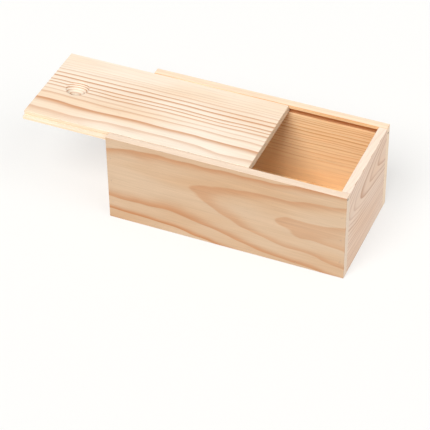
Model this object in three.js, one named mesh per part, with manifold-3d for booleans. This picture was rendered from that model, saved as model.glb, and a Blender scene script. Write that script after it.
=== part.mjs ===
// Soap loaf mould: a pine box with a sliding lid, in millimetres, +Z up.
//
// Two grooved side walls run the full length. Both end walls and the bottom panel are set between them,
// butted, glued and pinned with headless steel pins. The left end wall is low, so that the lid slides out
// over it. The lid is a rabbeted board whose tongues run in the side walls' grooves.
//
// The origin is at the middle of the underside. +X points to the full-height end wall and +Y to the rear.
import * as THREE from 'three';
import { mergeVertices } from 'three/addons/utils/BufferGeometryUtils.js';
import Module from 'manifold-3d';

const wasm = await Module();
wasm.setup();

// Box
const LENGTH = 200;
const WIDTH = 100;
const HEIGHT = 80;
const BOARD = 7;

// Lid groove in each side wall, open at the left end
const GROOVE_LIP = 3.2;
const GROOVE_HEIGHT = 3.4;
const GROOVE_DEPTH = 3;
const GROOVE_OVERRUN = 1;

// Lid
const RUNNING_GAP = 0.3;
const SIDE_GAP = 0.4;
const LID_DRAWN_OUT = 75;
const THUMB_RADIUS = 9.5;
const THUMB_DEPTH = 4;
const THUMB_FROM_END = 26.5;
const THUMB_SEGMENTS = 32;
const THUMB_ARC_STEPS = 6;

// Headless pins
const PIN_RADIUS = 0.35;
const PIN_LENGTH = 18;
const PIN_POINT = 1.2;
const PIN_SUNK = 0.3;
const PIN_SIDES = 8;
const HOLE_GAP = 0.3;
const CORNER_PIN_HEIGHTS = [16, 38, 60];
const SIDE_PIN_STEPS = [-60, -20, 20, 60];
const END_PIN_STEPS = [-25, 25];

// Worked out from the sizes above
const INNER_WIDTH = WIDTH - 2 * BOARD;
const INNER_LENGTH = LENGTH - 2 * BOARD;
const GROOVE_TOP = HEIGHT - GROOVE_LIP;
const GROOVE_BOTTOM = GROOVE_TOP - GROOVE_HEIGHT;
const LID_LENGTH = LENGTH - BOARD - RUNNING_GAP;
const LID_BOTTOM = GROOVE_BOTTOM + RUNNING_GAP;
const TONGUE_TOP = GROOVE_TOP - RUNNING_GAP;
const LID_HALF_WIDTH = INNER_WIDTH / 2 - SIDE_GAP;
const TONGUE_HALF_WIDTH = INNER_WIDTH / 2 + GROOVE_DEPTH - SIDE_GAP;
const LID_LEFT_END = -LENGTH / 2 - LID_DRAWN_OUT;

const END_WALL_X = LENGTH / 2 - BOARD / 2;

const PINE = { wall: 0xdcb893, end: 0xe4cdb4, bottom: 0xe6bf8c, lid: 0xf6dfc6 };
const PINE_ROUGHNESS = 0.62;
const STEEL = 0x9a9a96;
const STEEL_ROUGHNESS = 0.4;

const model = new THREE.Group();

function addPine(name, geometry, color) {
  const pine = new THREE.MeshStandardMaterial({ color, roughness: PINE_ROUGHNESS, metalness: 0 });
  const mesh = new THREE.Mesh(geometry, pine);
  mesh.name = name;
  model.add(mesh);
}

// Solids for joining and cutting

function toSolid(geometry) {
  const bare = geometry.clone();
  bare.deleteAttribute('normal');
  bare.deleteAttribute('uv');
  const merged = mergeVertices(bare);
  const corners = Array.from(merged.index.array);
  const triVerts = [];
  for (let i = 0; i < corners.length; i += 3) {
    const triangle = corners.slice(i, i + 3);
    if (new Set(triangle).size === 3) triVerts.push(...triangle);
  }
  return new wasm.Manifold(new wasm.Mesh({
    numProp: 3,
    vertProperties: new Float32Array(merged.attributes.position.array),
    triVerts: new Uint32Array(triVerts),
  }));
}

function toGeometry(solid) {
  const mesh = solid.getMesh();
  const geometry = new THREE.BufferGeometry();
  geometry.setAttribute('position', new THREE.BufferAttribute(new Float32Array(mesh.vertProperties), 3));
  geometry.setIndex(new THREE.BufferAttribute(new Uint32Array(mesh.triVerts), 1));
  geometry.computeVertexNormals();
  return geometry;
}

// A box between the low and high values given for each axis
function block([x0, x1], [y0, y1], [z0, z1]) {
  const geometry = new THREE.BoxGeometry(x1 - x0, y1 - y0, z1 - z0);
  return toSolid(geometry.translate((x0 + x1) / 2, (y0 + y1) / 2, (z0 + z1) / 2));
}

// Pins: where each one enters, and the turn about Z that points it inwards from -Y

const INTO_FRONT = Math.PI;
const INTO_REAR = 0;
const INTO_LEFT = Math.PI / 2;
const INTO_RIGHT = -Math.PI / 2;

function pinPlaces() {
  const places = [];
  const sides = [['front', -WIDTH / 2, INTO_FRONT], ['rear', WIDTH / 2, INTO_REAR]];
  const ends = [['left', -LENGTH / 2, INTO_LEFT], ['right', LENGTH / 2, INTO_RIGHT]];
  const panelMiddle = BOARD / 2;
  for (const [side, y, turn] of sides) {
    for (const [end, x] of [['left', -END_WALL_X], ['right', END_WALL_X]]) {
      CORNER_PIN_HEIGHTS.forEach((z, i) => {
        places.push({ name: `${side}_${end}_pin_${i + 1}`, at: [x, y, z], turn });
      });
    }
    SIDE_PIN_STEPS.forEach((x, i) => {
      places.push({ name: `${side}_bottom_pin_${i + 1}`, at: [x, y, panelMiddle], turn });
    });
  }
  for (const [end, x, turn] of ends) {
    END_PIN_STEPS.forEach((y, i) => {
      places.push({ name: `${end}_bottom_pin_${i + 1}`, at: [x, y, panelMiddle], turn });
    });
  }
  return places;
}

// A wire pin with its head at the surface it is driven into and its point towards -Y
function pinGeometry() {
  const head = -PIN_SUNK;
  const tip = head - PIN_LENGTH;
  const profile = [[0, tip], [PIN_RADIUS, tip + PIN_POINT], [PIN_RADIUS, head], [0, head]];
  const points = profile.map(([radius, along]) => new THREE.Vector2(radius, along));
  return toGeometry(toSolid(new THREE.LatheGeometry(points, PIN_SIDES)));
}

// The hole round a pin, open at the surface
function holeSolid({ at, turn }) {
  const radius = PIN_RADIUS + HOLE_GAP;
  const depth = PIN_SUNK + PIN_LENGTH + HOLE_GAP;
  const outside = 1;
  const geometry = new THREE.CylinderGeometry(radius, radius, depth + outside, PIN_SIDES);
  geometry.translate(0, (outside - depth) / 2, 0);
  geometry.rotateZ(turn);
  return toSolid(geometry.translate(...at));
}

function addPins(places) {
  for (const { name, at, turn } of places) {
    const steel = new THREE.MeshStandardMaterial({ color: STEEL, roughness: STEEL_ROUGHNESS, metalness: 1 });
    const pin = new THREE.Mesh(pinGeometry(), steel);
    pin.name = name;
    pin.position.set(...at);
    pin.rotation.z = turn;
    model.add(pin);
  }
}

// Boards

// A full-length side wall with the lid's groove in its inner face; side is -1 for the front, +1 for the rear
function sideWall(side) {
  const across = (inner, outer) => (side > 0 ? [inner, outer] : [-outer, -inner]);
  const inner = INNER_WIDTH / 2;
  const open = 1;
  const wall = block([-LENGTH / 2, LENGTH / 2], across(inner, WIDTH / 2), [0, HEIGHT]);
  const grooveEnd = INNER_LENGTH / 2 + GROOVE_OVERRUN;
  const groove = block(
    [-LENGTH / 2 - open, grooveEnd], across(inner - open, inner + GROOVE_DEPTH), [GROOVE_BOTTOM, GROOVE_TOP]);
  return wall.subtract(groove);
}

function endWall(x, top) {
  return block(x, [-INNER_WIDTH / 2, INNER_WIDTH / 2], [0, top]);
}

function addBox(places) {
  const outer = LENGTH / 2;
  const inner = INNER_LENGTH / 2;
  const holes = places.map(holeSolid).reduce((all, hole) => all.add(hole));
  const boards = [
    ['front_side_wall', sideWall(-1), PINE.wall],
    ['rear_side_wall', sideWall(1), PINE.wall],
    ['left_end_wall', endWall([-outer, -inner], GROOVE_BOTTOM), PINE.end],
    ['right_end_wall', endWall([inner, outer], HEIGHT), PINE.end],
    ['bottom_panel', block([-inner, inner], [-INNER_WIDTH / 2, INNER_WIDTH / 2], [0, BOARD]), PINE.bottom],
  ];
  for (const [name, board, color] of boards) addPine(name, toGeometry(board.subtract(holes)), color);
}

// The spherical thumb recess, closed by a flat top a little above the lid
function thumbRecess() {
  const sphereRadius = (THUMB_RADIUS ** 2 + THUMB_DEPTH ** 2) / (2 * THUMB_DEPTH);
  const rimAngle = Math.asin(THUMB_RADIUS / sphereRadius);
  const above = 1;
  const points = [];
  for (let i = 0; i <= THUMB_ARC_STEPS; i++) {
    const angle = rimAngle * i / THUMB_ARC_STEPS;
    const down = sphereRadius * Math.cos(angle) - (sphereRadius - THUMB_DEPTH);
    points.push(new THREE.Vector2(sphereRadius * Math.sin(angle), -down));
  }
  points.push(new THREE.Vector2(THUMB_RADIUS, above), new THREE.Vector2(0, above));
  const geometry = new THREE.LatheGeometry(points, THUMB_SEGMENTS).rotateX(Math.PI / 2);
  return toSolid(geometry.translate(LID_LEFT_END + THUMB_FROM_END, 0, HEIGHT));
}

// The lid as it stands part drawn out: a broad lower layer with the tongues, and a narrower upper one
function addLid() {
  const along = [LID_LEFT_END, LID_LEFT_END + LID_LENGTH];
  const lower = block(along, [-TONGUE_HALF_WIDTH, TONGUE_HALF_WIDTH], [LID_BOTTOM, TONGUE_TOP]);
  const upper = block(along, [-LID_HALF_WIDTH, LID_HALF_WIDTH], [LID_BOTTOM, HEIGHT]);
  addPine('sliding_lid', toGeometry(lower.add(upper).subtract(thumbRecess())), PINE.lid);
}

const places = pinPlaces();
addBox(places);
addLid();
addPins(places);

export default model;
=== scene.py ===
"""Looks of a pine soap loaf mould with a sliding lid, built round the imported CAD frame.

Each board is cut to its CAD node's box, with eased edges, grooves, a thumb recess and pin holes where the
design has them. Each board has a solid-wood material of its own, whose growth rings run through it in three
dimensions. Lengths are in metres, or in millimetres where a name ends in _MM or _mm.
"""
import math

import bmesh
import bpy
from mathutils import Matrix, Vector


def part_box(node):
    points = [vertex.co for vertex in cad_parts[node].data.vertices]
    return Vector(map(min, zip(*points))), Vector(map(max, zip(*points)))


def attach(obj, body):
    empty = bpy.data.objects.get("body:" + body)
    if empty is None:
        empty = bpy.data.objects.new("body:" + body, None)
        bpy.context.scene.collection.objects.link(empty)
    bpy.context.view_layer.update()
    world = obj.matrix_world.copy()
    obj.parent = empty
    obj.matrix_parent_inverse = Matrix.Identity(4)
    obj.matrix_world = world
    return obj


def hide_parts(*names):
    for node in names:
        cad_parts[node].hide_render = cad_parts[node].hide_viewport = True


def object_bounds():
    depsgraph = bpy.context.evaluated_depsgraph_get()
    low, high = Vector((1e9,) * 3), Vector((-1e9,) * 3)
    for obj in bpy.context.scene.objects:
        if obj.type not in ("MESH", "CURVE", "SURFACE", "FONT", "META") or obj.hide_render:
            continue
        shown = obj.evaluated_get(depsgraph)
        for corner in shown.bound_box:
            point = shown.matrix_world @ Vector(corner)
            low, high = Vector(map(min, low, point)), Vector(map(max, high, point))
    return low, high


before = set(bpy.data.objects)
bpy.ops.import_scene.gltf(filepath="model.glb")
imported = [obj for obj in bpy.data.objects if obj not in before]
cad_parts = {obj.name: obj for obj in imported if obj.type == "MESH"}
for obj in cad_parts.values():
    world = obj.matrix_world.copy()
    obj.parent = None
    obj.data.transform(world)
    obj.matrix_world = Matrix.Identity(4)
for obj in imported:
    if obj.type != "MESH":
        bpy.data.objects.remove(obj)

CAD_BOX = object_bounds()

# Boards. Outward edges are rounded by EASE, or by SEAM_EASE where a board meets another, and tools that cut
# the wood stand out of it by CLEAR.
BOX_BOARDS = ("front_side_wall", "rear_side_wall", "left_end_wall", "right_end_wall", "bottom_panel")
EASE = 0.0005
SEAM_EASE = 0.0001
EASE_STEPS = 3
SHARP_ANGLE = math.radians(32)
FLAT_ANGLE = math.radians(0.05)
GROOVE_HEIGHT = 0.0034
GROOVE_DEPTH = 0.003
GROOVE_OVERRUN = 0.001
CLEAR = 0.001

# Pits in the side walls' right-hand end grain: how far in from the outer face and down from the top
PITS = {"front_side_wall": (0.002, 0.0018), "rear_side_wall": (0.0039, 0.0061)}
PIT_RADIUS = 0.0009
PIT_BOTTOM_RADIUS = 0.6 * PIT_RADIUS
PIT_DEPTH = 0.003
PIT_SIDES = 16

# Lid
TONGUE_HEIGHT = 0.0028
TONGUE_WIDTH = 0.003
THUMB_RADIUS = 0.0095
THUMB_DEPTH = 0.004
THUMB_FROM_END = 0.0265
THUMB_SIDES = 96
THUMB_RINGS = 24
LID_EASE = 0.0004

# Pins
PIN_RADIUS = 0.00035
PIN_LENGTH = 0.018
PIN_POINT = 0.0012
PIN_EDGE = 0.00008
PIN_SUNK = 0.0003
PIN_SIDES = 16
HOLE_SLACK = 0.00003

# Camera: the point it aims at, and where it stands from there
CAMERA_AIM = Vector((-0.0158, -0.0309, 0.0128))
CAMERA_AZIMUTH = math.radians(23.3)
CAMERA_ELEVATION = math.radians(40.15)
CAMERA_ROLL = math.radians(-0.7)
CAMERA_DISTANCE = 1.4495
CAMERA_LENS_MM = 152.3
SENSOR_WIDTH_MM = 36

# Floor and light. The sky fades from HORIZON_STRENGTH at the horizon to SKY_STRENGTH where a direction of
# length 1 has risen to HORIZON_TOP. A light's direction is where it comes from, and its strength is how
# bright it makes a white face turned towards it.
FLOOR_RADIUS = 12
FLOOR_SIDES = 96
FLOOR_DROP = 0.00005
FLOOR_GLOW = 0.51
SKY_COLOUR = (1, 1, 1, 1)
SKY_STRENGTH = 0.42
HORIZON_STRENGTH = 1
HORIZON_TOP = 0.25
LIGHT_COLOUR = (1, 0.985, 0.965)
KEY_FROM = Vector((-0.22, -1.45, 1.7))
KEY_STRENGTH = 0.8
KEY_ANGLE = math.radians(34)
SIDE_FROM = Vector((1.2, -0.35, 1.2))
SIDE_STRENGTH = 0.3
SIDE_ANGLE = math.radians(45)


def srgb(colour):
    """A 0xRRGGBB colour as the linear RGBA that shaders take."""
    channels = [((colour >> shift) & 255) / 255 for shift in (16, 8, 0)]
    return tuple(c / 12.92 if c <= 0.04045 else ((c + 0.055) / 1.055) ** 2.4 for c in channels) + (1,)


# Materials


class Shader:
    """A material under construction. Each method adds a node and returns its output socket."""

    def __init__(self, name):
        self.material = bpy.data.materials.new(name)
        self.material.use_nodes = True
        self.nodes = self.material.node_tree.nodes
        self.links = self.material.node_tree.links
        self.nodes.clear()

    def node(self, kind, inputs, **settings):
        node = self.nodes.new("ShaderNode" + kind)
        for name, value in settings.items():
            setattr(node, name, value)
        for key, value in inputs.items():
            if isinstance(value, bpy.types.NodeSocket):
                self.links.new(value, node.inputs[key])
            else:
                node.inputs[key].default_value = value
        return node

    def math(self, operation, *values):
        return self.node("Math", dict(enumerate(values)), operation=operation).outputs[0]

    def vector(self, parts, factors=(1, 1, 1), shift=0):
        """The parts times the factors, moved by shift along each axis."""
        moved = [self.math("MULTIPLY_ADD", part, factor, shift) for part, factor in zip(parts, factors)]
        return self.node("CombineXYZ", dict(enumerate(moved))).outputs[0]

    def noise(self, vector, detail, roughness=0.5):
        """Noise about zero, seldom past 0.3 either way."""
        inputs = {"Vector": vector, "Scale": 1, "Detail": detail, "Roughness": roughness}
        return self.math("SUBTRACT", self.node("TexNoise", inputs).outputs[0], 0.5)

    def step(self, value, start, end, before=0, after=1):
        """A smooth step from before, at start, to after, at end."""
        inputs = {0: value, 1: start, 2: end, 3: before, 4: after}
        return self.node("MapRange", inputs, interpolation_type="SMOOTHSTEP").outputs[0]

    def mix(self, factor, first, second, blend="MIX"):
        inputs = {0: factor, 6: first, 7: second}
        return self.node("Mix", inputs, data_type="RGBA", blend_type=blend).outputs[2]

    def grey(self, value):
        return self.node("CombineColor", {0: value, 1: value, 2: value}).outputs[0]

    def length(self, offsets):
        """The length of a vector with these two offsets."""
        return self.math("SQRT", self.math("ADD", *(self.math("MULTIPLY", x, x) for x in offsets)))

    def object_place_mm(self):
        """The x, y and z of each point in the object's own frame, in millimetres."""
        place = self.node("TexCoord", {}).outputs["Object"]
        scaled = self.node("VectorMath", {0: place, "Scale": 1000}, operation="SCALE").outputs[0]
        return self.node("SeparateXYZ", {0: scaled}).outputs

    def bump(self, height, distance):
        """Surface relief as deep as distance, in metres, for a height that changes by 1."""
        return self.node("Bump", {"Height": height, "Distance": distance, "Strength": 1}).outputs[0]

    def finish(self, inputs):
        surface = self.node("BsdfPrincipled", inputs).outputs[0]
        self.node("OutputMaterial", {"Surface": surface})
        return self.material


# A board's directions, as axes: along the grain, across its face and through its thickness
ALONG_X_LYING = (0, 1, 2)
ALONG_X_UPRIGHT = (0, 2, 1)
ALONG_Y_UPRIGHT = (1, 2, 0)

# How fine each kind of figure is along, across and through a board, in cycles for each millimetre
WANDER_GRAIN = (0.011, 0.024, 0.024)
RIPPLE_GRAIN = (0.05, 0.12, 0.12)
CLOUD_GRAIN = (0.008, 0.03, 0.03)
STREAK_GRAIN = (0.012, 0.5, 0.5)
FIBRE_GRAIN = (0.03, 1.5, 1.5)
FLECK_GRAIN = (0.13, 2.2, 2.2)

# Growth rings: the ripples' depth as a share of the wander's, and how unevenly wide the rings are
RIPPLE_SHARE = 1 / 9
UNEVEN_PER_RING = 0.23
UNEVEN_BY = 2.4

# One year's ring, from 0 at its start to 1 at its end: where it darkens, where it drops back to pale, how
# strong its line is, and what is left of a line that has faded
DARKENS = (0.2, 0.92)
DARKENS_POWER = 3
DROPS = (0.94, 1)
WEAKEST_YEAR = 0.4
YEARS_DIFFER_BY = 0.7
FADED_LINE = 0.12

# The noise values over which warm clouds and resin flecks come in
CLOUDS_OVER = (-0.15, 0.25)
FLECKS_OVER = (0.2, 0.26)

# How much each thing lightens or darkens the wood, and strengthens the lines on a slanted surface
STREAK_SHADE = 0.26
FIBRE_SHADE = 0.34
FLECK_SHADE = -0.16
END_SHADE = -0.05
# Slanted surfaces, such as the thumb recess's walls and the rounded edges, are drawn darker and with
# stronger lines: partly the look of fibres cut across, partly painted shade
SLANT_TONE_AND_PAINTED_SHADE = -0.1
SLANT_LINE_AND_PAINTED_SHADE = 1.2
WARM_TINT = (0.95, 0.84, 0.73, 1)
# Painted shade inside the lid's groove: the groove's faces are multiplied by this darker, warmer colour
GROOVE_SHADE_TINT = (0.62, 0.35, 0.19, 1)
# Narrow edges and end grain are tinted paler: partly the wood's own tone, partly painted light for the
# walls' brightly lit tops
PLANED_AND_LIT_TINT = 0.75
# The near-black colour that a pit's inside is drawn in
PIT_INSIDE_COLOUR = srgb(0x2A1A10)

# The cosine of the angle between a surface's normal and one of the board's directions: a surface is slanted
# below the first pair and flat above it, and it faces along that direction above the second pair
SLANTED = (0.76, 0.97)
SQUARE = (0.8, 0.95)

MASK_BLUR_MM = 0.1

# Finish: roughness and what changes it, and how deep the bump is in metres
PINE_ROUGHNESS = 0.62
LINE_ROUGHNESS = -0.08
FIBRE_ROUGHNESS = 0.2
PINE_SHEEN = 0.3
PINE_RELIEF = 0.00006
LINE_RELIEF = 0.25
STEEL_ROUGHNESS = 0.42
DRAWN_ROUGHNESS = 0.2
OXIDE_ROUGHNESS = 0.2
STEEL_RELIEF = 0.00001
PAPER_ROUGHNESS = 0.9
PAPER_SHEEN = 0.1
PAPER_MOTTLE = 0.01
PAPER_RELIEF = 0.00002

# The wire's and the paper's colours, and how fine their figure is, in cycles for each millimetre
STEEL_COLOUR = srgb(0x8F8E8A)
OXIDE_COLOUR = srgb(0x6A6660)
OXIDE_OVER = (0.05, 0.2)
DRAWN_GRAIN = 6
OXIDE_GRAIN = 3
PAPER_COLOUR = srgb(0xA8A8A6)
GLOW_COLOUR = srgb(0xFFFFFF)
MOTTLE_GRAIN = 0.004
TOOTH_GRAIN = 1.5


def surface_lie(wood, directions):
    """How squarely the surface faces along each direction, and how slanted it is: 0 if flat, 1 if curved."""
    normal = wood.node("SeparateXYZ", {0: wood.node("TexCoord", {}).outputs["Normal"]}).outputs
    facing = [wood.math("ABSOLUTE", normal[axis]) for axis in directions]
    squarest = wood.math("MAXIMUM", wood.math("MAXIMUM", *facing[:2]), facing[2])
    return facing, wood.step(squarest, *SLANTED, 1, 0)


def growth_rings(wood, parts, pith_mm, slope, ring_mm, wander_mm, seed):
    """The distance from the pith in millimetres, and the rings counted outwards from it."""
    offsets = [
        wood.math("SUBTRACT", wood.math("MULTIPLY_ADD", parts[0], -stray, part), start)
        for part, start, stray in zip(parts[1:], pith_mm, slope)
    ]
    wander = wood.noise(wood.vector(parts, WANDER_GRAIN, seed), detail=2)
    ripple = wood.noise(wood.vector(parts, RIPPLE_GRAIN, seed + 3), detail=1)
    radius = wood.math("MULTIPLY_ADD", wander, wander_mm, wood.length(offsets))
    radius = wood.math("MULTIPLY_ADD", ripple, wander_mm * RIPPLE_SHARE, radius)
    rings = wood.math("DIVIDE", radius, ring_mm)
    uneven = wood.noise(wood.vector([rings, seed, 0], (UNEVEN_PER_RING, 1, 1)), detail=1)
    return radius, wood.math("MULTIPLY_ADD", uneven, UNEVEN_BY, rings)


def late_wood(wood, radius, rings, faint_mm, slant, seed):
    """How dark the wood is, from 0 in early wood to a line that ends each ring, stronger in some years."""
    within = wood.math("FRACT", rings)
    year = wood.math("ADD", wood.math("FLOOR", rings), seed)
    luck = wood.node("TexWhiteNoise", {"W": year}, noise_dimensions="1D").outputs[0]
    rise = wood.math("POWER", wood.step(within, *DARKENS), DARKENS_POWER)
    fall = wood.step(within, *DROPS, 1, 0)
    strength = wood.math("MULTIPLY_ADD", luck, YEARS_DIFFER_BY, WEAKEST_YEAR)
    if faint_mm:
        strength = wood.math("MULTIPLY", strength, wood.step(radius, *faint_mm, 1, FADED_LINE))
    # Stronger lines on slanted surfaces: partly the look of fibres cut across, partly painted shade
    strength = wood.math("MULTIPLY", strength, wood.math("MULTIPLY_ADD", slant, SLANT_LINE_AND_PAINTED_SHADE, 1))
    return wood.math("MULTIPLY", wood.math("MULTIPLY", rise, fall), strength)


def warm_clouds(wood, colour, parts, seed):
    """The colour with slow changes towards a warmer one."""
    cloud = wood.step(wood.noise(wood.vector(parts, CLOUD_GRAIN, seed + 9), detail=2), *CLOUDS_OVER)
    tint = wood.mix(cloud, (1, 1, 1, 1), WARM_TINT)
    return wood.mix(1, colour, tint, blend="MULTIPLY")


def grain_shade(wood, parts, fibre, seed):
    """Streaks along the grain, fine fibres and short resin flecks, as a factor about 1."""
    streak = wood.noise(wood.vector(parts, STREAK_GRAIN, seed + 4), detail=4, roughness=0.6)
    fleck = wood.step(wood.noise(wood.vector(parts, FLECK_GRAIN, seed + 2), detail=1), *FLECKS_OVER)
    shade = wood.math("MULTIPLY_ADD", streak, STREAK_SHADE, 1)
    shade = wood.math("MULTIPLY_ADD", fibre, FIBRE_SHADE, shade)
    return wood.math("MULTIPLY_ADD", fleck, FLECK_SHADE, shade)


def paint_groove_shade(wood, colour, place_mm, groove_mm):
    """The colour with painted shade inside the lid's groove: its faces are drawn darker and warmer."""
    end, reach, bottom, top = groove_mm
    before_end = wood.step(place_mm[0], end, end + MASK_BLUR_MM, 1, 0)
    within_reach = wood.step(wood.math("ABSOLUTE", place_mm[1]), reach, reach + MASK_BLUR_MM, 1, 0)
    above = wood.step(place_mm[2], bottom - MASK_BLUR_MM, bottom)
    below = wood.step(place_mm[2], top, top + MASK_BLUR_MM, 1, 0)
    across = wood.math("MULTIPLY", before_end, within_reach)
    inside = wood.math("MULTIPLY", across, wood.math("MULTIPLY", above, below))
    return wood.mix(inside, colour, wood.mix(1, colour, GROOVE_SHADE_TINT, blend="MULTIPLY"))


def darken_pit_inside(wood, colour, place_mm, pit_mm):
    """The colour drawn near-black inside a pit, whose bottom is at pit_mm."""
    from_axis = wood.length([wood.math("SUBTRACT", place_mm[axis], pit_mm[axis]) for axis in (1, 2)])
    inside = wood.step(from_axis, PIT_RADIUS * 1000, PIT_RADIUS * 1000 + MASK_BLUR_MM, 1, 0)
    past_bottom = wood.step(place_mm[0], pit_mm[0] - MASK_BLUR_MM, pit_mm[0])
    return wood.mix(wood.math("MULTIPLY", inside, past_bottom), colour, PIT_INSIDE_COLOUR)


def pine(name, directions, pith_mm, slope, ring_mm, wander_mm, early, late, contrast, planed_and_lit, seed,
         faint_mm=None, groove_mm=None, pit_mm=None):
    """Solid pine whose growth rings are wavy shells round a pith that runs roughly along the board.

    pith_mm is where the pith crosses the middle of the box, across and through the board, and slope is how
    far it strays in those two directions for each millimetre along the grain. The lines run from the colour
    early to late. The planed colour is the paler colour that narrow edges and end grain are tinted towards:
    partly the wood's own paler tone there and partly painted light, for the brighter light on the walls'
    tops.
    The lines fade out from the first to the second radius in faint_mm. groove_mm is the lid groove's end,
    reach, bottom and top, inside which the wood is darkened with painted shade, and pit_mm is the bottom of
    a pit in the end grain, whose inside is drawn near-black. Each kind of figure takes its noise from a
    place of its own, at the seed or a few units past it.
    """
    wood = Shader(name)
    place_mm = wood.object_place_mm()
    parts = [place_mm[axis] for axis in directions]
    facing, slant = surface_lie(wood, directions)
    radius, rings = growth_rings(wood, parts, pith_mm, slope, ring_mm, wander_mm, seed)
    line = late_wood(wood, radius, rings, faint_mm, slant, seed)
    fibre = wood.noise(wood.vector(parts, FIBRE_GRAIN, seed), detail=3, roughness=0.65)

    ringed = wood.mix(wood.math("MULTIPLY", line, contrast), early, late)
    end, edge = (wood.step(part, *SQUARE) for part in facing[:2])
    sawn = wood.math("MAXIMUM", edge, end)
    # Narrow edges and end grain tinted paler: partly the wood's own tone, partly painted light on the walls'
    # tops
    colour = wood.mix(sawn, warm_clouds(wood, ringed, parts, seed), wood.mix(PLANED_AND_LIT_TINT, ringed, planed_and_lit))
    shade = wood.math("MULTIPLY_ADD", end, END_SHADE, grain_shade(wood, parts, fibre, seed))
    # Darker on slanted surfaces: partly the look of fibres cut across, partly painted shade
    shade = wood.math("MULTIPLY_ADD", slant, SLANT_TONE_AND_PAINTED_SHADE, shade)
    colour = wood.mix(1, colour, wood.grey(shade), blend="MULTIPLY")
    # Painted shade: the inside of the lid's groove is drawn darker and warmer
    if groove_mm:
        colour = paint_groove_shade(wood, colour, place_mm, groove_mm)
    # The inside of the pit is drawn near-black
    if pit_mm:
        colour = darken_pit_inside(wood, colour, place_mm, pit_mm)

    roughness = wood.math("MULTIPLY_ADD", line, LINE_ROUGHNESS, PINE_ROUGHNESS)
    return wood.finish({
        "Base Color": colour,
        "Roughness": wood.math("MULTIPLY_ADD", fibre, FIBRE_ROUGHNESS, roughness),
        "Specular IOR Level": PINE_SHEEN,
        "Normal": wood.bump(wood.math("MULTIPLY_ADD", line, LINE_RELIEF, fibre), PINE_RELIEF),
    })


def steel(name):
    """Drawn wire, dulled and specked with grey oxide."""
    metal = Shader(name)
    parts = metal.object_place_mm()
    drawn = metal.noise(metal.vector(parts, [DRAWN_GRAIN] * 3), detail=3)
    oxide = metal.noise(metal.vector(parts, [OXIDE_GRAIN] * 3, shift=5), detail=2)
    specks = metal.step(oxide, *OXIDE_OVER)
    roughness = metal.math("MULTIPLY_ADD", drawn, DRAWN_ROUGHNESS, STEEL_ROUGHNESS)
    return metal.finish({
        "Base Color": metal.mix(specks, STEEL_COLOUR, OXIDE_COLOUR),
        "Metallic": 1,
        "Roughness": metal.math("MULTIPLY_ADD", specks, OXIDE_ROUGHNESS, roughness),
        "Normal": metal.bump(drawn, STEEL_RELIEF),
    })


def floor_paper(name):
    """White studio paper, lit a little from below so that it stays white round the box's soft shadow."""
    paper = Shader(name)
    parts = paper.object_place_mm()
    mottle = paper.noise(paper.vector(parts, [MOTTLE_GRAIN] * 3), detail=3)
    tooth = paper.noise(paper.vector(parts, [TOOTH_GRAIN] * 3), detail=2)
    tint = paper.math("MULTIPLY_ADD", mottle, PAPER_MOTTLE, 1)
    return paper.finish({
        "Base Color": paper.mix(1, PAPER_COLOUR, paper.grey(tint), blend="MULTIPLY"),
        "Emission Color": GLOW_COLOUR,
        "Emission Strength": FLOOR_GLOW,
        "Roughness": PAPER_ROUGHNESS,
        "Specular IOR Level": PAPER_SHEEN,
        "Normal": paper.bump(tooth, PAPER_RELIEF),
    })


# Mesh tools


def add_object(name, shape):
    """A new object from a bmesh, which is freed."""
    mesh = bpy.data.meshes.new(name)
    shape.to_mesh(mesh)
    shape.free()
    piece = bpy.data.objects.new(name, mesh)
    bpy.context.scene.collection.objects.link(piece)
    return piece


def block(name, low, high):
    """A rectangular block between two corners."""
    low, high = Vector(low), Vector(high)
    shape = bmesh.new()
    bmesh.ops.create_cube(shape, size=1)
    size = Matrix.Diagonal(high - low).to_4x4()
    shape.transform(Matrix.Translation((low + high) / 2) @ size)
    return add_object(name, shape)


def bar(name, section, start, end):
    """A bar along X with the given (y, z) section."""
    shape = bmesh.new()
    cap = shape.faces.new([shape.verts.new((start, y, z)) for y, z in section])
    grown = bmesh.ops.extrude_face_region(shape, geom=[cap])["geom"]
    far_end = [part for part in grown if isinstance(part, bmesh.types.BMVert)]
    bmesh.ops.translate(shape, vec=(end - start, 0, 0), verts=far_end)
    bmesh.ops.recalc_face_normals(shape, faces=shape.faces)
    return add_object(name, shape)


def turned_solid(shape, profile, sides, matrix):
    """Adds a solid of revolution to a bmesh. The profile is (radius, height) points from axis to axis."""
    angles = [2 * math.pi * i / sides for i in range(sides)]

    def ring_at(radius, height):
        corners = [Vector((radius * math.cos(a), radius * math.sin(a), height)) for a in angles]
        return [shape.verts.new(matrix @ corner) for corner in corners]

    first = shape.verts.new(matrix @ Vector((0, 0, profile[0][1])))
    last = shape.verts.new(matrix @ Vector((0, 0, profile[-1][1])))
    rings = [ring_at(radius, height) for radius, height in profile[1:-1]]
    for i in range(sides):
        j = (i + 1) % sides
        shape.faces.new((first, rings[0][j], rings[0][i]))
        shape.faces.new((last, rings[-1][i], rings[-1][j]))
        for ring, following in zip(rings, rings[1:]):
            shape.faces.new((ring[i], ring[j], following[j], following[i]))


def settle(piece):
    """Bakes the piece's modifiers into its mesh."""
    bpy.context.view_layer.update()
    made = bpy.data.meshes.new_from_object(piece.evaluated_get(bpy.context.evaluated_depsgraph_get()))
    piece.modifiers.clear()
    piece.data = made


def cut(piece, tool):
    """Cuts the tool from the piece and removes the tool."""
    modifier = piece.modifiers.new("cut", "BOOLEAN")
    modifier.operation = "DIFFERENCE"
    modifier.solver = "EXACT"
    modifier.object = tool
    settle(piece)
    bpy.data.objects.remove(tool)


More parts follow.
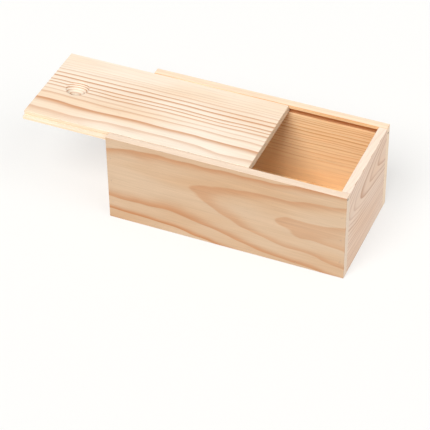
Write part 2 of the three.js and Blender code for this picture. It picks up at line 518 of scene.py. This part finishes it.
def ease_edges(piece, ease_of):
    """Rounds each outward edge by what ease_of gives for its middle."""
    shape = bmesh.new()
    shape.from_mesh(piece.data)
    bmesh.ops.dissolve_limit(shape, angle_limit=FLAT_ANGLE, verts=shape.verts, edges=shape.edges)
    weights = shape.edges.layers.float.new("bevel_weight_edge")
    for edge in shape.edges:
        if edge.is_convex and edge.calc_face_angle(0) > SHARP_ANGLE:
            middle = (edge.verts[0].co + edge.verts[1].co) / 2
            edge[weights] = ease_of(middle) / EASE
    shape.to_mesh(piece.data)
    shape.free()
    bevel = piece.modifiers.new("ease", "BEVEL")
    bevel.width = EASE
    bevel.segments = EASE_STEPS
    bevel.limit_method = "WEIGHT"
    settle(piece)


def smooth(piece):
    """Smooth shading that leaves flat faces flat and hard corners hard."""
    piece.data.shade_smooth()
    piece.data.set_sharp_from_angle(angle=SHARP_ANGLE)
    normals = piece.modifiers.new("normals", "WEIGHTED_NORMAL")
    normals.keep_sharp = True
    settle(piece)


def hand_over(piece, body, node, material):
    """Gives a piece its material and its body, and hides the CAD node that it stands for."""
    piece.data.materials.clear()
    piece.data.materials.append(material)
    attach(piece, body)
    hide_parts(node)


# Boards


def touches(first, second, slack=0.0):
    """Whether two boxes, each a lowest and a highest corner, meet."""
    (low_a, high_a), (low_b, high_b) = first, second
    return all(low_a[i] <= high_b[i] + slack and low_b[i] <= high_a[i] + slack for i in range(3))


def ease_in_box(node):
    """How far each edge of a box board is eased: hardly at all where it meets another board."""
    others = [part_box(other) for other in BOX_BOARDS if other != node]

    def ease(middle):
        at_seam = any(touches((middle, middle), other, SEAM_EASE) for other in others)
        return SEAM_EASE if at_seam else EASE

    return ease


def groove_limits():
    """The lid grooves' end along X, how far out from the middle they reach, and their bottom and top."""
    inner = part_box("rear_side_wall")[0].y
    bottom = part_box("left_end_wall")[1].z
    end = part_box("right_end_wall")[0].x + GROOVE_OVERRUN
    return end, inner + GROOVE_DEPTH, bottom, bottom + GROOVE_HEIGHT


def cut_groove(wall, node):
    """The lid's groove in a side wall's inner face, open at the left end."""
    low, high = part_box(node)
    end, reach, bottom, top = groove_limits()
    inner = min(abs(low.y), abs(high.y))
    across = sorted(math.copysign(y, low.y) for y in (inner - CLEAR, reach))
    cut(wall, block("groove", (low.x - CLEAR, across[0], bottom), (end, across[1], top)))


def cut_pin_holes(board, node):
    """Tight holes for the pins that pass into the board."""
    pins = [pin for pin in PIN_NODES if touches(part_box(node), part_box(pin))]
    depth = PIN_SUNK + PIN_LENGTH + HOLE_SLACK
    radius = PIN_RADIUS + HOLE_SLACK
    profile = [(0, -depth), (radius, -depth), (radius, CLEAR), (0, CLEAR)]
    tools = bmesh.new()
    for pin in pins:
        turned_solid(tools, profile, PIN_SIDES, pin_entry(pin))
    cut(board, add_object("holes", tools))


def pit_mouth(node):
    """The middle of the mouth of a side wall's pit, in its right-hand end grain."""
    low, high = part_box(node)
    inward, down = PITS[node]
    return Vector((high.x, math.copysign(CAD_BOX[1].y - inward, low.y), high.z - down))


def pit_bottom_mm(node):
    return 1000 * (pit_mouth(node) - Vector((PIT_DEPTH, 0, 0)))


def cut_pit(wall, node):
    """A tiny deep pit, narrower at its bottom."""
    turn = Matrix.Rotation(math.pi / 2, 4, "Y")
    profile = [(0, -PIT_DEPTH), (PIT_BOTTOM_RADIUS, -PIT_DEPTH), (PIT_RADIUS, CLEAR), (0, CLEAR)]
    tool = bmesh.new()
    turned_solid(tool, profile, PIT_SIDES, Matrix.Translation(pit_mouth(node)) @ turn)
    cut(wall, add_object("pit", tool))


def add_box_board(node, material):
    board = block(node + "_look", *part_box(node))
    if node.endswith("side_wall"):
        cut_groove(board, node)
    ease_edges(board, ease_in_box(node))
    cut_pin_holes(board, node)
    if node in PITS:
        cut_pit(board, node)
    smooth(board)
    hand_over(board, "box", node, material)


def thumb_recess(lid_low, lid_top):
    """The spherical hollow that a thumb pushes against, as a solid to cut away."""
    sphere = (THUMB_RADIUS ** 2 + THUMB_DEPTH ** 2) / (2 * THUMB_DEPTH)
    rim_angle = math.asin(THUMB_RADIUS / sphere)
    centre = sphere - THUMB_DEPTH
    angles = [rim_angle * i / THUMB_RINGS for i in range(THUMB_RINGS + 1)]
    profile = [(sphere * math.sin(a), centre - sphere * math.cos(a)) for a in angles]
    profile += [(THUMB_RADIUS, CLEAR), (0, CLEAR)]
    shape = bmesh.new()
    middle = Vector((lid_low.x + THUMB_FROM_END, 0, lid_top))
    turned_solid(shape, profile, THUMB_SIDES, Matrix.Translation(middle))
    return add_object("thumb", shape)


def add_lid(material):
    """A board rabbeted along both long edges, so that a tongue on each side runs in its groove."""
    node = "sliding_lid"
    low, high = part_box(node)
    tongue_top = low.z + TONGUE_HEIGHT
    inner = high.y - TONGUE_WIDTH
    rear_half = [(high.y, low.z), (high.y, tongue_top), (inner, tongue_top), (inner, high.z)]
    section = rear_half + [(-y, z) for y, z in reversed(rear_half)]
    lid = bar(node + "_look", section, low.x, high.x)
    cut(lid, thumb_recess(low, high.z))
    ease_edges(lid, lambda middle: LID_EASE)
    smooth(lid)
    hand_over(lid, "lid", node, material)


# Pins


def pin_entry(node):
    """The point where a pin enters the wood, with Z pointing out of it."""
    low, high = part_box(node)
    middle = (low + high) / 2
    axis = max(range(3), key=lambda i: high[i] - low[i])
    outward = Vector([math.copysign(i == axis, middle[i]) for i in range(3)])
    surface = middle + outward * ((high - low)[axis] / 2 + PIN_SUNK)
    return Matrix.Translation(surface) @ outward.to_track_quat("Z", "Y").to_matrix().to_4x4()


def add_pin(node, material):
    """A headless wire pin: a ground point and a cut end with a rubbed edge."""
    head = -PIN_SUNK
    tip = head - PIN_LENGTH
    profile = [
        (0, tip),
        (PIN_RADIUS, tip + PIN_POINT),
        (PIN_RADIUS, head - PIN_EDGE),
        (PIN_RADIUS - PIN_EDGE, head),
        (0, head),
    ]
    shape = bmesh.new()
    turned_solid(shape, profile, PIN_SIDES, pin_entry(node))
    pin = add_object(node + "_look", shape)
    smooth(pin)
    hand_over(pin, "box", node, material)


# Studio


def add_floor():
    """A round sheet of paper, larger than any view, just under the box."""
    shape = bmesh.new()
    bmesh.ops.create_circle(shape, cap_ends=True, segments=FLOOR_SIDES, radius=FLOOR_RADIUS)
    shape.transform(Matrix.Translation((0, 0, -FLOOR_DROP)))
    floor = add_object("floor", shape)
    floor.data.materials.append(floor_paper("floor_paper"))


def add_soft_light(name, direction, strength, angle):
    """Parallel light with the soft shadows of a large softbox."""
    light = bpy.data.lights.new(name, "SUN")
    light.energy = strength * math.pi
    light.color = LIGHT_COLOUR
    light.angle = angle
    holder = bpy.data.objects.new(name, light)
    holder.matrix_world = direction.to_track_quat("Z", "Y").to_matrix().to_4x4()
    bpy.context.scene.collection.objects.link(holder)


def add_sky():
    """White light from all round, brightest at the horizon, where the studio's walls are."""
    world = bpy.data.worlds.new("studio")
    world.use_nodes = True
    nodes = world.node_tree.nodes
    direction = nodes.new("ShaderNodeTexCoord")
    split = nodes.new("ShaderNodeSeparateXYZ")
    fade = nodes.new("ShaderNodeMapRange")
    fade.interpolation_type = "SMOOTHSTEP"
    fade.inputs["From Max"].default_value = HORIZON_TOP
    fade.inputs["To Min"].default_value = HORIZON_STRENGTH
    fade.inputs["To Max"].default_value = SKY_STRENGTH
    background = nodes["Background"]
    background.inputs["Color"].default_value = SKY_COLOUR
    links = world.node_tree.links
    links.new(direction.outputs["Generated"], split.inputs[0])
    links.new(split.outputs["Z"], fade.inputs["Value"])
    links.new(fade.outputs[0], background.inputs["Strength"])
    bpy.context.scene.world = world


def add_camera():
    """A long lens that looks down on the box from the front right."""
    turn = Matrix.Rotation(CAMERA_AZIMUTH, 4, "Z")
    tilt = Matrix.Rotation(math.pi / 2 - CAMERA_ELEVATION, 4, "X")
    roll = Matrix.Rotation(CAMERA_ROLL, 4, "Z")
    back = Matrix.Translation((0, 0, CAMERA_DISTANCE))
    lens = bpy.data.cameras.new("camera")
    lens.lens = CAMERA_LENS_MM
    lens.sensor_width = SENSOR_WIDTH_MM
    camera = bpy.data.objects.new("camera", lens)
    camera.matrix_world = Matrix.Translation(CAMERA_AIM) @ turn @ tilt @ back @ roll
    bpy.context.scene.collection.objects.link(camera)
    bpy.context.scene.camera = camera


# The whole model

PIN_NODES = sorted(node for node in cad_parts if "_pin_" in node)
GROOVE_MM = [1000 * limit for limit in groove_limits()]

# The front wall's colours are partly the board's own browner tone and partly painted shade, dimmed against
# the key light that falls on it
FRONT_PINE_WITH_PAINTED_SHADE = pine(
    "front_pine_painted_shade",
    ALONG_X_UPRIGHT,
    pith_mm=(44, 60),
    slope=(-0.04, -0.03),
    ring_mm=3.6,
    wander_mm=5,
    early=srgb(0xC4A98D),
    late=srgb(0xB07544),
    contrast=0.8,
    planed_and_lit=srgb(0xF0DCC8),
    seed=11,
    groove_mm=GROOVE_MM,
    pit_mm=pit_bottom_mm("front_side_wall"),
)
# The rear wall's colours are partly the board's own golden tone and partly painted light, made brighter for
# the lit inside of the box
REAR_PINE_WITH_PAINTED_LIGHT = pine(
    "rear_pine_painted_light",
    ALONG_X_UPRIGHT,
    pith_mm=(-10, 113),
    slope=(0, 0),
    ring_mm=1.9,
    wander_mm=3,
    faint_mm=(88, 74),
    early=srgb(0xFFDAAC),
    late=srgb(0xDFA268),
    contrast=0.85,
    planed_and_lit=srgb(0xEAD6C1),
    seed=23,
    groove_mm=GROOVE_MM,
    pit_mm=pit_bottom_mm("rear_side_wall"),
)
LEFT_PINE = pine(
    "left_pine",
    ALONG_Y_UPRIGHT,
    pith_mm=(90, -60),
    slope=(0.05, 0),
    ring_mm=2.2,
    wander_mm=6,
    early=srgb(0xF4D2B2),
    late=srgb(0xD8A078),
    contrast=0.7,
    planed_and_lit=srgb(0xF6EADB),
    seed=37,
)
RIGHT_PINE = pine(
    "right_pine",
    ALONG_Y_UPRIGHT,
    pith_mm=(60, 75),
    slope=(0, 0.15),
    ring_mm=2.6,
    wander_mm=6,
    early=srgb(0xE4CCB9),
    late=srgb(0xC0957A),
    contrast=0.9,
    planed_and_lit=srgb(0xF2E0CE),
    seed=41,
)
BOTTOM_PINE = pine(
    "bottom_pine",
    ALONG_X_LYING,
    pith_mm=(12, -70),
    slope=(0, 0.03),
    ring_mm=2.6,
    wander_mm=8,
    early=srgb(0xFCDAA8),
    late=srgb(0xDFAC70),
    contrast=0.7,
    planed_and_lit=srgb(0xF0D8B8),
    seed=53,
)
LID_PINE = pine(
    "lid_pine",
    ALONG_X_LYING,
    pith_mm=(-50, -57),
    slope=(0, 0),
    ring_mm=1.75,
    wander_mm=2,
    faint_mm=(154, 159),
    early=srgb(0xEEE1D0),
    late=srgb(0xC8936C),
    contrast=1,
    planed_and_lit=srgb(0xE6CDAE),
    seed=67,
)
PIN_STEEL = steel("pin_steel")

add_camera()
add_sky()
add_soft_light("key", KEY_FROM, KEY_STRENGTH, KEY_ANGLE)
add_soft_light("side", SIDE_FROM, SIDE_STRENGTH, SIDE_ANGLE)
add_floor()

add_box_board("front_side_wall", FRONT_PINE_WITH_PAINTED_SHADE)
add_box_board("rear_side_wall", REAR_PINE_WITH_PAINTED_LIGHT)
add_box_board("left_end_wall", LEFT_PINE)
add_box_board("right_end_wall", RIGHT_PINE)
add_box_board("bottom_panel", BOTTOM_PINE)
add_lid(LID_PINE)
for pin_node in PIN_NODES:
    add_pin(pin_node, PIN_STEEL)

bpy.context.scene.view_settings.view_transform = "Standard"
